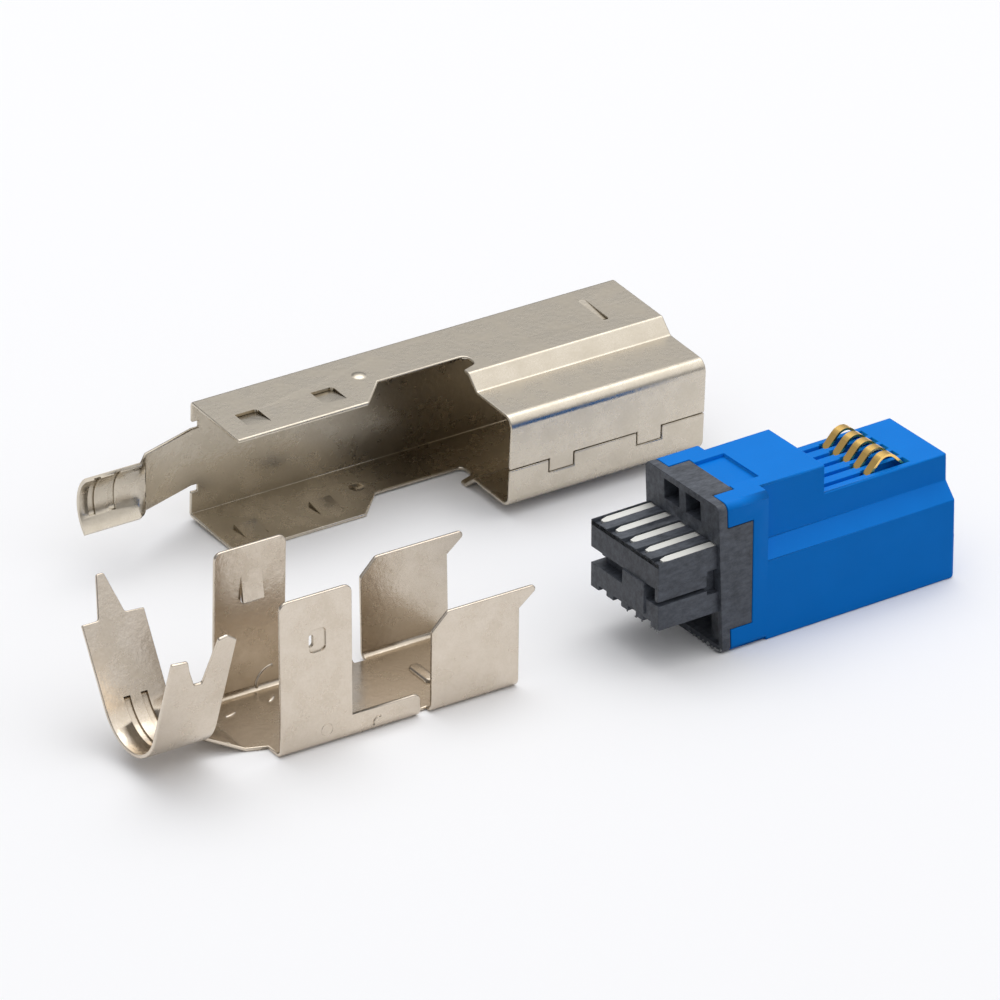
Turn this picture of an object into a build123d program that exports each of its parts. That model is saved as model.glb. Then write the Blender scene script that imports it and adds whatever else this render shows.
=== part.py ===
"""The kit of a type B plug with nine contacts, laid out for assembly.

The front shell lies on its side, the crimp cover lies on its floor with its walls up, and the
insulator stands with its narrow side up and carries its terminal block and its contacts.
Millimetres. Every piece has its own frame, with x along the plug towards the mating end.
"""

import os
from math import asin, atan2, cos, degrees, hypot, radians, sin, sqrt, tan

from build123d import *

os.makedirs("parts", exist_ok=True)

# The plug's mating size and the sheet that the metal pieces are folded from
plug_width = 8.0
plug_height = 10.44
sheet = 0.25
slide_gap = 0.05
seat_gap = 0.05

# Where the three groups lie on the table, and how far each is turned
shell_x, shell_y = -7.872, 5.427
cover_x, cover_y, cover_turn = -18.758, -8.434, -0.59
insulator_x, insulator_y, insulator_turn = 9.474, -12.100, 1.284

# Front shell: a closed box towards the mating end and an open channel behind it
shell_length = 30.5
box_start = 16.3
block_step = 0.87
chamfer_near = 3.88
chamfer_far = 4.85
bend_radius = 0.3
block_bend_radius = 0.75
channel_edge = 4.86
seam_gap = 0.05
seam_height = 3.55
seam_jog_depth = 0.9
seam_jog_width = 1.8
seam_jogs = (2.85, 9.25)

# The side cut-outs of the channel and their relief past the rim of the box
cutout_start = 9.2
cutout_slope = 1.85
cutout_edge = 6.8
relief_length = 1.05
relief_width = 1.1
relief_radius = 0.45

# Lances, bumps and detents in the two side walls
lance_length = 1.55
lance_width = 1.6
lance_near = 6.0
lance_starts = (1.4, 6.75)
lance_drop = 0.22
lance_slit = 0.05
lance_corner = 0.3
bump_x, bump_y = 10.4, 7.9
bump_radius = 0.5
bump_rise = 0.15
detent_setback = 3.25
detent_near, detent_deepest, detent_far = 6.2, 6.6, 9.1
detent_width = 0.62
detent_depth = 0.18

# The strain relief strap and trough behind the back wall
strap_low, strap_high = 2.2, 6.15
strap_length = 3.9
strap_rise = 1.19
relief_notch = 0.45
trough_length = 4.7
trough_radius = 2.6
trough_join = 0.8
rib_width = 0.45
rib_depth = 0.1
rib_foot = 3.15
trough_ribs = (6.62, 8.0)

# Crimp cover: floor, tall tabs, low walls and wings
cover_gap = 0.1
cover_width = plug_width - cover_gap
cover_bend = 0.6
tab_length = 4.85
tab_height = 10.15
tab_corner = 0.5
tab_lean = 2.4
low_wall_height = 1.6
low_wall_end = 9.45
low_wall_corner = 0.45
wing_start = 10.18
wing_end = 16.18
wing_height = 6.55
wing_chamfer = 1.1
wing_corner = 0.35
wing_lean = 1.2
hook_reach = 1.55
hook_depth = 1.25
hook_radius = 0.25
catch_x, catch_z = 2.5, 7.15
catch_length, catch_height = 1.4, 1.8
catch_depth = 0.32
catch_slit = 0.3
near_catch_depth = 0.1
near_catch_hole = 0.8
near_catch_hole_width = 0.38
near_catch_hole_offset = 0.4
press_taper = 20.0
floor_rib_x = 12.05
floor_rib_length = 2.4
floor_rib_width = 0.8
floor_rib_rise = 0.22

# Crimp cover: neck and crimp barrel
neck_start = 1.2
neck_half_width = 2.0
neck_far_root = 3.1
neck_near_root = 2.45
barrel_root = 1.0
barrel_front = 3.7
barrel_length = 4.15
barrel_radius = 3.2
barrel_rise = 0.95
near_wing_tilt = 20.0
far_wing_tilt = 30.0
wing_tip_radius = 0.18
grip_slots = (4.95, 6.1)
grip_slot_depth = 0.12
grip_slot_top = 3.0

# What is left of each crimp wing: points along the barrel from its rear end, and up the wing
near_wing_top = (
    (0, 6.4),
    (1.1, 6.25),
    (1.35, 5.4),
    (1.9, 4.05),
    (2.45, 4.0),
    (2.9, 7.45),
    (3.45, 7.6),
    (barrel_length, 6.85),
)
far_wing_top = (
    (0, 5.0),
    (1.1, 5.0),
    (1.75, 7.6),
    (2.25, 7.6),
    (2.9, 5.1),
    (barrel_length, 5.0),
)

# Insulator housing: outline, step and hollows
insulator_length = 17.12
flange_plate = 0.65
flange_lean = 0.4
skirt_end = 3.2
block_end = 7.9
nose_lean = 0.22
contact_deck_drop = 1.86
skirt_radius = 0.45
front_radius = 0.3
edge_radius = 0.12
side_lug_depth = 2.15
end_lug_depth = 1.75
side_lug_low, side_lug_high = 1.5, 8.35
end_lug_inset = 1.73
top_recess_length = 2.15
top_recess_inset = 0.49
top_recess_depth = 0.25
tongue_slot_wall = 1.15
tongue_slot_height = 3.3
tongue_slot_floor = 1.7
tongue_slot_end = 6.6
stem_length = 6.0
stem_wall = 0.8
stem_floor = 1.25
stem_head_room = 2.05

# Terminal block: tongues, grooves and core pull openings
tongue_length = 4.45
tongue_inset = 0.55
tongue_top = 7.27
upper_tongue_floor = 5.45
lower_tongue_top = 4.42
lower_tongue_floor = 2.82
web_inset = 0.07
web_setback = 0.75
web_pillar = 0.35
web_slit_height = 0.25
web_slit_depth = 0.4
root_notch_length = 0.55
root_notch_low, root_notch_high = 4.15, 5.7
boss_near, boss_far = -2.1, 0.1
boss_low = 3.4
boss_reach = 0.12
core_hole_side = 0.44
core_hole_gap = 0.66
core_hole_low = 8.12
core_hole_wall = 0.45
lower_opening_inset = 0.65
lower_opening_low = 0.45
lower_opening_depth = 0.4
lower_core_depth = 1.5

# Contacts
contact_thickness = 0.15
upper_count = 5
tail_margin = 0.45
spring_margin = 0.77
tail_width = 0.66
spring_width = 0.56
tail_setback = 0.5
tail_taper = 0.5
tail_tip_width = 0.3
fan_start, fan_end = 0.6, 3.2
tail_sink = 0.1
channel_gap = 0.05
arch_start = 10.9
arch_peak = 12.85
arch_rise = 1.18
arch_end = 14.3
arch_tip_drop = 0.3
arch_radius = 0.8
deck_groove_width = 0.36
deck_groove_depth = 0.45
deck_slot_width = 0.68
deck_slot_depth = 1.05
deck_slot_start, deck_slot_end = 11.3, 14.5
lower_front_inset = 1.6
lower_bend_start, lower_bend_end = 0.8, 3.0
lower_bow_start, lower_bow_top_start, lower_bow_top_end = 10.8, 12.8, 13.6
lower_bow_end, lower_tip = 15.0, 15.6
lower_bow = 0.55
lower_bend_radius = 0.3

# Worked out from the sizes above
half_width = plug_width / 2
channel_inside = plug_width - 2 * sheet
housing_half_width = channel_inside / 2 - slide_gap
skirt_half_width = channel_inside / 2 - slide_gap / 4
narrow_half_width = half_width - block_step - sheet - slide_gap
housing_top = plug_height - 2 * sheet - slide_gap
shoulder_low = plug_height - chamfer_far - sheet - seat_gap
shoulder_high = plug_height - chamfer_near - sheet - seat_gap
contact_deck = housing_top - contact_deck_drop
tongue_slot_half_width = half_width - tongue_slot_wall
tongue_slot_top = tongue_slot_floor + tongue_slot_height
end_lug_half_width = half_width - end_lug_inset
top_recess_half_width = end_lug_half_width - top_recess_inset
tongue_half_width = half_width - tongue_inset
web_half_width = tongue_half_width - web_inset
web_end = tongue_length - web_setback
web_slit_top = lower_tongue_top + web_slit_height
core_hole = end_lug_half_width - core_hole_side - core_hole_gap / 2
lower_opening_half_width = half_width - lower_opening_inset
lower_core_half_width = end_lug_half_width - sheet
tail_spacing = 2 * (tongue_half_width - tail_margin) / (upper_count - 1)
spring_spacing = 2 * (narrow_half_width - spring_margin) / (upper_count - 1)
lower_front_y = tongue_slot_half_width - lower_front_inset
tail_level = tongue_top - tail_sink - contact_thickness / 2
lower_tail_level = lower_tongue_floor + contact_thickness / 2 + seat_gap
stem_half_width = housing_half_width - stem_wall
stem_neck_half_width = narrow_half_width - stem_wall
stem_top = tail_level - contact_thickness / 2 - seat_gap
stem_hollow_top = stem_top + stem_head_room
wing_reach = max(height for _, height in near_wing_top + far_wing_top) + sheet


def frame_at(x, y, turn=0.0):
    """The own frame of a piece or group that lies at x, y and is turned about the vertical."""
    return Plane(origin=(x, y, 0), x_dir=Vector(1, 0, 0).rotate(Axis.Z, turn), z_dir=(0, 0, 1))


def tipped_frame(x, y, lean, line):
    """The frame of a piece that lies at x, y and leans about the line at this y across it."""
    rise = sin(radians(lean)) * line
    back = (1 - cos(radians(lean))) * line
    upwards = (0, -sin(radians(lean)), cos(radians(lean)))
    return Plane(origin=(x, y + back, -rise), x_dir=(1, 0, 0), z_dir=upwards)


def across(frame, x=0.0):
    """The plane across a piece at x along it. Its axes run across the piece and up."""
    return Plane(frame.from_local_coords((x, 0, 0)), x_dir=frame.y_dir, z_dir=frame.x_dir)


def along(frame, y=0.0):
    """The upright plane along a piece at y across it. Its axes run along the piece and up."""
    return Plane(frame.from_local_coords((0, y, 0)), x_dir=frame.x_dir, z_dir=frame.y_dir * -1)


# The shell rests on the edge of its channel and on the bump beneath it
bump_round = (bump_radius**2 + bump_rise**2) / (2 * bump_rise)
bump_middle = bump_round - bump_rise
bump_reach = bump_y - channel_edge
bump_grip = asin(bump_round / hypot(bump_reach, bump_middle))
shell_lean = degrees(bump_grip - atan2(bump_middle, bump_reach))
shell_frame = tipped_frame(shell_x, shell_y, shell_lean, channel_edge)
cover_frame = frame_at(cover_x, cover_y, cover_turn)
insulator_frame = frame_at(insulator_x, insulator_y, insulator_turn)


# Front shell: y is 0 at the narrow face and plug_height at the back wall, z is 0 to plug_width
def strap_arc(reach):
    """Half of the trough's opening, seen along it, for a sheet surface this far from its axis."""
    half_chord = (strap_high - strap_low) / 2
    return half_chord * reach / trough_radius


strap_middle = (strap_low + strap_high) / 2
strap_back = plug_height - strap_rise
trough_axis = strap_back - trough_radius
trough_inside = trough_radius - sheet
trough_half_chord = strap_arc(trough_radius)
trough_inside_half_chord = strap_arc(trough_inside)


def trough_section(x):
    """The trough's curved section at x along the shell, open towards the narrow face."""
    outer_depth = sqrt(trough_radius**2 - trough_half_chord**2)
    inner_depth = sqrt(trough_inside**2 - trough_inside_half_chord**2)
    with BuildSketch(across(shell_frame, x)) as section:
        with BuildLine():
            outer = ThreePointArc(
                (trough_axis + outer_depth, strap_middle - trough_half_chord),
                (trough_axis + trough_radius, strap_middle),
                (trough_axis + outer_depth, strap_middle + trough_half_chord),
            )
            inner = ThreePointArc(
                (trough_axis + inner_depth, strap_middle - trough_inside_half_chord),
                (trough_axis + trough_inside, strap_middle),
                (trough_axis + inner_depth, strap_middle + trough_inside_half_chord),
            )
            Line(outer @ 0, inner @ 0)
            Line(outer @ 1, inner @ 1)
        make_face()
    return section.sketch


def strap_section(x):
    """The flat strap's section at x along the shell."""
    with BuildSketch(across(shell_frame, x)) as section:
        with Locations((strap_back - sheet / 2, strap_middle)):
            Rectangle(sheet, strap_high - strap_low)
    return section.sketch


def bump_cap(level, inwards):
    """A shallow round cap that rises outwards from this level of a side wall."""
    with BuildPart() as cap:
        with BuildSketch(shell_frame.offset(level)):
            with Locations((bump_x, bump_y)):
                Circle(bump_radius)
        extrude(amount=-inwards * bump_rise)
        middle = (bump_x, bump_y, level + inwards * bump_middle)
        with Locations(shell_frame.from_local_coords(middle)):
            Sphere(bump_round, mode=Mode.INTERSECT)
    return cap.part


def detent_wedge(level, inwards, width):
    """A round-ended wedge this wide, pressed inwards from this level of a side wall."""
    detent_x = shell_length - detent_setback
    length = detent_far - detent_near
    with BuildPart() as wedge:
        with BuildSketch(across(shell_frame, detent_x)):
            with BuildLine():
                Polyline(
                    (detent_near, level),
                    (detent_deepest, level + inwards * detent_depth),
                    (detent_far, level),
                    close=True,
                )
            make_face()
        extrude(amount=width / 2, both=True)
        with BuildSketch(shell_frame.offset(level)):
            with Locations((detent_x, detent_near + length / 2)):
                SlotOverall(length, width, rotation=90)
        extrude(amount=sheet, both=True, mode=Mode.INTERSECT)
    return wedge.part


with BuildPart() as front_shell:
    with BuildSketch(across(shell_frame, box_start)) as box_section:
        with BuildLine():
            Polyline(
                (0, block_step),
                (chamfer_near, block_step),
                (chamfer_far, 0),
                (plug_height, 0),
                (plug_height, plug_width),
                (chamfer_far, plug_width),
                (chamfer_near, plug_width - block_step),
                (0, plug_width - block_step),
                close=True,
            )
        make_face()
        fillet(box_section.vertices().group_by(Axis.X)[0], radius=block_bend_radius)
        for corner_y in (chamfer_near, chamfer_far, plug_height):
            corners = box_section.vertices().filter_by_position(Axis.X, corner_y, corner_y)
            fillet(corners, radius=bend_radius)
        offset(amount=-sheet, mode=Mode.SUBTRACT)
    extrude(amount=shell_length - box_start)

    with BuildSketch(across(shell_frame)) as channel_section:
        with Locations((channel_edge, 0)):
            Rectangle(plug_height - channel_edge, plug_width, align=(Align.MIN, Align.MIN))
        fillet(channel_section.vertices().group_by(Axis.X)[-1], radius=bend_radius)
        offset(amount=-sheet, mode=Mode.SUBTRACT)
        with Locations((channel_edge, plug_width / 2)):
            Rectangle(sheet, channel_inside, align=(Align.MIN, Align.CENTER), mode=Mode.SUBTRACT)
    extrude(amount=box_start)

    # The side cut-outs run past the rim into a rounded relief
    with BuildSketch(shell_frame) as side_cutout:
        with BuildLine():
            Polyline(
                (cutout_start, channel_edge - sheet),
                (cutout_start, channel_edge),
                (cutout_start + cutout_slope, cutout_edge),
                (box_start + relief_length, cutout_edge),
                (box_start + relief_length, cutout_edge - relief_width),
                (box_start, chamfer_far + 2 * sheet),
                (box_start, channel_edge - sheet),
                close=True,
            )
        make_face()
        fillet(side_cutout.vertices().group_by(Axis.X)[-1], radius=relief_radius)
    extrude(amount=plug_width, mode=Mode.SUBTRACT)

    # The rear edge of the back wall, relieved beside the strap
    with BuildSketch(along(shell_frame, plug_height)):
        with Locations(
            (0, strap_low - relief_notch / 2),
            (0, strap_high + relief_notch / 2),
        ):
            Rectangle(2 * relief_notch, relief_notch)
    extrude(amount=2 * sheet, both=True, mode=Mode.SUBTRACT)

    # The strap slopes inwards from the back wall to the trough
    with BuildSketch(shell_frame.offset(strap_low)):
        with BuildLine():
            Polyline(
                (sheet, plug_height - sheet),
                (sheet, plug_height),
                (0, plug_height),
                (-strap_length, strap_back),
                (-strap_length, strap_back - sheet),
                (0, plug_height - sheet),
                close=True,
            )
        make_face()
    extrude(amount=strap_high - strap_low)
    loft([strap_section(-strap_length), trough_section(-strap_length - trough_join)], ruled=True)
    extrude(trough_section(-strap_length - trough_join), amount=-(trough_length - trough_join))
    for rib_x in trough_ribs:
        with BuildSketch(across(shell_frame, -rib_x)):
            with Locations((trough_axis, strap_middle)):
                Circle(trough_inside + rib_depth)
            with Locations((trough_axis, rib_foot)):
                Rectangle(
                    3 * trough_radius,
                    trough_radius,
                    align=(Align.CENTER, Align.MAX),
                    mode=Mode.SUBTRACT,
                )
        extrude(amount=rib_width, mode=Mode.SUBTRACT)

    # The seam of the narrow face, with its two square jogs
    with BuildSketch(along(shell_frame, sheet)) as seam:
        with BuildLine() as seam_line:
            first, second = (box_start + jog for jog in seam_jogs)
            jog_level = seam_height - seam_jog_depth
            Polyline(
                (box_start - sheet, seam_height),
                (first, seam_height),
                (first, jog_level),
                (first + seam_jog_width, jog_level),
                (first + seam_jog_width, seam_height),
                (second, seam_height),
                (second, jog_level),
                (second + seam_jog_width, jog_level),
                (second + seam_jog_width, seam_height),
                (shell_length + sheet, seam_height),
            )
        trace(line_width=seam_gap)
    extrude(amount=2 * sheet, both=True, mode=Mode.SUBTRACT)

    # Lances of the side walls: slit on three sides and pressed inwards
    for wall, inwards in ((plug_width, -1), (0, 1)):
        for lance_start in lance_starts:
            with BuildSketch(shell_frame.offset(wall - inwards * sheet)) as lance:
                with Locations((lance_start, lance_near)):
                    Rectangle(lance_length, lance_width, align=(Align.MIN, Align.MIN))
                fillet(lance.vertices().sort_by(lambda v: v.X + v.Y)[-1], radius=lance_corner)
            extrude(amount=inwards * 3 * sheet, mode=Mode.SUBTRACT)
            with BuildSketch(across(shell_frame, lance_start)):
                with BuildLine():
                    tab_end = lance_near + lance_width - lance_slit
                    Polyline(
                        (lance_near - sheet, wall),
                        (lance_near, wall),
                        (tab_end, wall + inwards * lance_drop),
                        (tab_end, wall + inwards * (lance_drop + sheet)),
                        (lance_near, wall + inwards * sheet),
                        (lance_near - sheet, wall + inwards * sheet),
                        close=True,
                    )
                make_face()
            extrude(amount=lance_length - lance_slit)

        # A round bump outwards, and a detent inwards that deepens towards its near end
        add(bump_cap(wall, inwards))
        add(bump_cap(wall + inwards * sheet, inwards), mode=Mode.SUBTRACT)
        add(detent_wedge(wall + inwards * sheet, inwards, detent_width))
        add(detent_wedge(wall, inwards, detent_width - sheet / 2), mode=Mode.SUBTRACT)

front_shell.part.label = "front_shell"
export_step(front_shell.part, "parts/front_shell.step")


# Crimp cover: x is 0 at the tall tabs' rear edge, y is 0 in the middle, z is 0 under the floor
def cover_channel(x, near_lean, far_lean):
    """The folded channel's section at x, taller than the walls, each wall leaning outwards."""
    half = cover_width / 2
    height = tab_height + 2 * sheet
    with BuildSketch(across(cover_frame, x)) as section:
        with BuildLine():
            Polyline(
                (-half - height * tan(radians(near_lean)), height),
                (-half, 0),
                (half, 0),
                (half + height * tan(radians(far_lean)), height),
                close=True,
            )
        make_face()
        fillet(section.vertices().group_by(Axis.Y)[0], radius=cover_bend)
        offset(amount=-sheet, mode=Mode.SUBTRACT)
    return section.sketch


def tab_profile():
    """The tall tab and the low wall in front of it, seen from the side."""
    with BuildSketch(along(cover_frame)) as profile:
        with BuildLine():
            Polyline(
                (0, 0),
                (0, tab_height),
                (tab_length, tab_height),
                (tab_length, low_wall_height),
                (low_wall_end, low_wall_height),
                (low_wall_end, 0),
                close=True,
            )
        make_face()
        fillet(profile.vertices().group_by(Axis.Y)[-1], radius=tab_corner)
        front_corners = profile.vertices().group_by(Axis.X)[-1]
        fillet(front_corners.sort_by(Axis.Y)[-1], radius=low_wall_corner)
    return profile.sketch


def wing_profile():
    """The wing with its hook, seen from the side."""
    with BuildSketch(along(cover_frame)) as profile:
        with BuildLine():
            Polyline(
                (wing_start, 0),
                (wing_start, wing_height - wing_chamfer),
                (wing_start + wing_chamfer, wing_height),
                (wing_end + hook_reach, wing_height),
                (wing_end, wing_height - hook_depth),
                (wing_end, 0),
                close=True,
            )
        make_face()
        fillet(profile.vertices().sort_by(Axis.X)[-1], radius=hook_radius)
        rear_corners = profile.vertices().sort_by(Axis.X)[:3]
        fillet(rear_corners.sort_by(Axis.Y)[1:], radius=wing_corner)
    return profile.sketch


def wing_plane(side, tilt):
    """The plane of a crimp wing's outer face. Its origin is where the round bottom ends."""
    out, up = side * cos(radians(tilt)), -sin(radians(tilt))
    origin = cover_frame.from_local_coords(
        (0, out * barrel_radius, barrel_rise + barrel_radius + up * barrel_radius)
    )
    outwards = cover_frame.y_dir * out + cover_frame.z_dir * up
    return Plane(origin, x_dir=cover_frame.x_dir, z_dir=outwards * -side)


def barrel_section(x):
    """The open crimp barrel across its axis: a round bottom and two straight wings."""
    axis = barrel_rise + barrel_radius
    middle = barrel_radius - sheet / 2
    with BuildSketch(across(cover_frame, x)) as section:
        with BuildLine():
            feet, tops = [], []
            for side, tilt in ((-1, near_wing_tilt), (1, far_wing_tilt)):
                out, up = cos(radians(tilt)), -sin(radians(tilt))
                foot_y, foot_z = side * out * middle, axis + up * middle
                feet.append((foot_y, foot_z))
                tops.append((foot_y - side * up * wing_reach, foot_z + out * wing_reach))
            Line(tops[0], feet[0])
            ThreePointArc(feet[0], (0, axis - middle), feet[1])
            Line(feet[1], tops[1])
        trace(line_width=sheet)
    return section.sketch


def neck_front():
    """The flat end of the neck, across the cover."""
    with BuildSketch(across(cover_frame, -neck_start)) as section:
        Rectangle(2 * neck_half_width, sheet, align=(Align.CENTER, Align.MIN))
    return section.sketch


def neck_rear():
    """The neck's other end, which follows the round of the barrel."""
    axis = barrel_rise + barrel_radius
    with BuildSketch(across(cover_frame, -barrel_front)) as section:
        with BuildLine():
            outer, inner = (
                ThreePointArc(
                    (-barrel_root, axis - sqrt(radius**2 - barrel_root**2)),
                    (0, axis - radius),
                    (barrel_root, axis - sqrt(radius**2 - barrel_root**2)),
                )
                for radius in (barrel_radius, barrel_radius - sheet)
            )
            Line(outer @ 0, inner @ 0)
            Line(outer @ 1, inner @ 1)
        make_face()
    return section.sketch


def wing_offcut(side, tilt, top):
    """The sheet above a crimp wing's top edge, drawn on the wing's own plane."""
    rear = -barrel_front - barrel_length
    edge = [(rear + along_barrel, height) for along_barrel, height in top]
    rear_end, front_end = rear - sheet, -barrel_front + sheet
    clear = wing_reach + sheet
    with BuildSketch(wing_plane(side, tilt)) as offcut:
        with BuildLine():
            torn = FilletPolyline(
                (rear_end, edge[0][1]),
                *edge[1:-1],
                (front_end, edge[-1][1]),
                radius=wing_tip_radius,
            )
            Polyline(torn @ 1, (front_end, clear), (rear_end, clear), torn @ 0)
        make_face()
    return offcut.sketch


def wall_face(side, height, lean):
    """How far across the cover a tall tab's outer face is at this height."""
    return side * (cover_width / 2 - height * tan(radians(lean)))


with BuildPart() as crimp_cover:
    extrude(cover_channel(0, 0, -tab_lean), amount=low_wall_end)
    extrude(tab_profile(), amount=plug_width, both=True, mode=Mode.INTERSECT)
    floor_half_width = cover_width / 2 - cover_bend
    with BuildSketch(cover_frame):
        with Locations((low_wall_end, 0)):
            Rectangle(
                wing_start - low_wall_end + sheet,
                2 * floor_half_width,
                align=(Align.MIN, Align.CENTER),
            )
    extrude(amount=sheet)
    with BuildPart(mode=Mode.PRIVATE) as wings:
        extrude(
            cover_channel(wing_start, wing_lean, wing_lean),
            amount=wing_end + 2 * hook_reach - wing_start,
        )
        extrude(wing_profile(), amount=plug_width, both=True, mode=Mode.INTERSECT)
    add(wings.part)

    # The floor runs on behind the tabs and slopes up to the barrel
    with BuildSketch(cover_frame):
        with BuildLine():
            Polyline(
                (sheet, -neck_near_root),
                (0, -neck_near_root),
                (-neck_start, -neck_half_width),
                (-neck_start, neck_half_width),
                (0, neck_far_root),
                (sheet, neck_far_root),
                close=True,
            )
        make_face()
    extrude(amount=sheet)
    loft([neck_front(), neck_rear()], ruled=True)
    extrude(barrel_section(-barrel_front), amount=-barrel_length)
    for side, tilt, top in (
        (-1, near_wing_tilt, near_wing_top),
        (1, far_wing_tilt, far_wing_top),
    ):
        extrude(wing_offcut(side, tilt, top), amount=2 * sheet, both=True, mode=Mode.SUBTRACT)
    for slot_x in grip_slots:
        with BuildSketch(across(cover_frame, -slot_x)):
            with Locations((0, barrel_rise + barrel_radius)):
                Circle(barrel_radius - sheet + grip_slot_depth)
            with Locations((0, grip_slot_top)):
                Rectangle(
                    3 * barrel_radius,
                    3 * barrel_radius,
                    align=(Align.CENTER, Align.MIN),
                    mode=Mode.SUBTRACT,
                )
        extrude(amount=-rib_width, mode=Mode.SUBTRACT)

    # The far tab's catch is slit at its lower edge and pressed inwards
    catch_top, catch_low = catch_z + catch_height / 2, catch_z - catch_height / 2
    catch_corner = catch_length / 4
    with BuildSketch(along(cover_frame, half_width)):
        with Locations((catch_x, catch_z)):
            RectangleRounded(catch_length, catch_height, catch_corner)
    extrude(amount=half_width, mode=Mode.SUBTRACT)
    hinge = wall_face(1, catch_top, tab_lean)
    tip = wall_face(1, catch_low + catch_slit, tab_lean) - catch_depth
    with BuildSketch(across(cover_frame, catch_x)):
        with BuildLine():
            Polyline(
                (hinge, catch_top + sheet),
                (tip, catch_low + catch_slit),
                (tip - sheet, catch_low + catch_slit),
                (hinge - sheet, catch_top + sheet),
                close=True,
            )
        make_face()
    extrude(amount=catch_length / 2, both=True)

    # The near tab's catch is shallower, with a small hole
    near_face = along(cover_frame, wall_face(-1, catch_z, 0))
    with BuildSketch(near_face):
        with Locations((catch_x, catch_z)):
            RectangleRounded(catch_length, catch_height, catch_corner)
    extrude(amount=-sheet - near_catch_depth, taper=press_taper)
    with BuildSketch(near_face):
        with Locations((catch_x, catch_z)):
            RectangleRounded(catch_length - sheet, catch_height - sheet, catch_corner)
    extrude(amount=-near_catch_depth, taper=press_taper, mode=Mode.SUBTRACT)
    with BuildSketch(near_face):
        with Locations((catch_x - near_catch_hole_offset, catch_z)):
            SlotOverall(near_catch_hole, near_catch_hole_width, rotation=90)
    extrude(amount=-2 * sheet, mode=Mode.SUBTRACT)

    # A stiffening rib across the floor between the wings
    with BuildSketch(cover_frame.offset(sheet)):
        with Locations((floor_rib_x, 0)):
            SlotOverall(floor_rib_length, floor_rib_width, rotation=90)
    extrude(amount=floor_rib_rise, taper=press_taper)

crimp_cover.part.label = "crimp_cover"
export_step(crimp_cover.part, "parts/crimp_cover.step")


# Insulator housing: x is 0 at the flange's rear face, y is 0 in the middle, z is 0 underneath
def housing_outline(x, top):
    """The housing's section at x: full width below the shoulders, narrow above them."""
    with BuildSketch(across(insulator_frame, x)) as section:
        with BuildLine():
            Polyline(
                (-housing_half_width, 0),
                (housing_half_width, 0),
                (housing_half_width, shoulder_low),
                (narrow_half_width, shoulder_high),
                (narrow_half_width, top),
                (-narrow_half_width, top),
                (-narrow_half_width, shoulder_high),
                (-housing_half_width, shoulder_low),
                close=True,
            )
        make_face()
        fillet(section.vertices(), radius=edge_radius)
    return section.sketch


def leaning_slab(rear, front):
    """A slab across the insulator between two leaning faces, x being where they start below."""
    with BuildPart() as slab:
        with BuildSketch(along(insulator_frame)):
            with BuildLine():
                Polyline(
                    (rear, 0),
                    (front, 0),
                    (front - flange_lean, housing_top),
                    (rear - flange_lean, housing_top),
                    close=True,
                )
            make_face()
        extrude(amount=plug_width, both=True)
    return slab.part


def stem_section(top, gap=0.0):
    """The stem's section up to this height, or with a gap one that is smaller all round."""
    with BuildSketch(across(insulator_frame)) as section:
        for half, high in ((stem_half_width, shoulder_low - gap), (stem_neck_half_width, top)):
            with Locations((0, stem_floor + gap)):
                Rectangle(
                    2 * (half - gap), high - stem_floor - gap, align=(Align.CENTER, Align.MIN)
                )
    return section.sketch


def ribbon(side_points, bend, plan_points, gap=0.0):
    """A contact strip: its path seen from the side, cut to its outline seen from above.

    With a gap it is the channel that clears the strip by that much all round.
    """
    with BuildSketch(along(insulator_frame)) as path:
        with BuildLine():
            FilletPolyline(*side_points, radius=bend)
        trace(line_width=contact_thickness + 2 * gap)
    with BuildSketch(insulator_frame) as outline:
        with BuildLine():
            Polyline(*plan_points, close=True)
        make_face()
        if gap:
            offset(amount=gap, kind=Kind.INTERSECTION)
    with BuildPart() as strip:
        extrude(path.sketch, amount=plug_width, both=True)
        extrude(outline.sketch, amount=plug_height, mode=Mode.INTERSECT)
    return strip.part


def strip_outline(tail_y, front_y, front_end):
    """A strip from above: a tapered tail, a fan to its place at the front, a narrow spring."""
    tip, tail, spring = tail_tip_width / 2, tail_width / 2, spring_width / 2
    return (
        (tail_end, tail_y - tip),
        (tail_end + tail_taper, tail_y - tail),
        (fan_start, tail_y - tail),
        (fan_end, front_y - spring),
        (front_end, front_y - spring),
        (front_end, front_y + spring),
        (fan_end, front_y + spring),
        (fan_start, tail_y + tail),
        (tail_end + tail_taper, tail_y + tail),
        (tail_end, tail_y + tip),
    )


tail_end = -tongue_length + tail_setback
upper_path = (
    (tail_end - sheet, tail_level),
    (arch_start, tail_level),
    (arch_peak, contact_deck + arch_rise),
    (arch_end, contact_deck - arch_tip_drop),
)


def upper_strip(index, gap=0.0):
    """The strip of one contact of the narrow side, counted from the near side."""
    place = index - (upper_count - 1) / 2
    outline = strip_outline(place * tail_spacing, place * spring_spacing, arch_end + sheet)
    return ribbon(upper_path, arch_radius, outline, gap)


def lower_path(level, bow):
    """The side path of a contact of the mating slot, from its tail to its tip."""
    return (
        (tail_end - sheet, lower_tail_level),
        (lower_bend_start, lower_tail_level),
        (lower_bend_end, level),
        (lower_bow_start, level),
        (lower_bow_top_start, level + bow),
        (lower_bow_top_end, level + bow),
        (lower_bow_end, level),
        (lower_tip + sheet, level),
    )


floor_level = tongue_slot_floor - contact_thickness / 2
ceiling_level = tongue_slot_top + contact_thickness / 2
lower_rows = (
    (ceiling_level, -lower_bow),
    (floor_level, lower_bow),
    (floor_level, lower_bow),
    (ceiling_level, -lower_bow),
)


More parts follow.
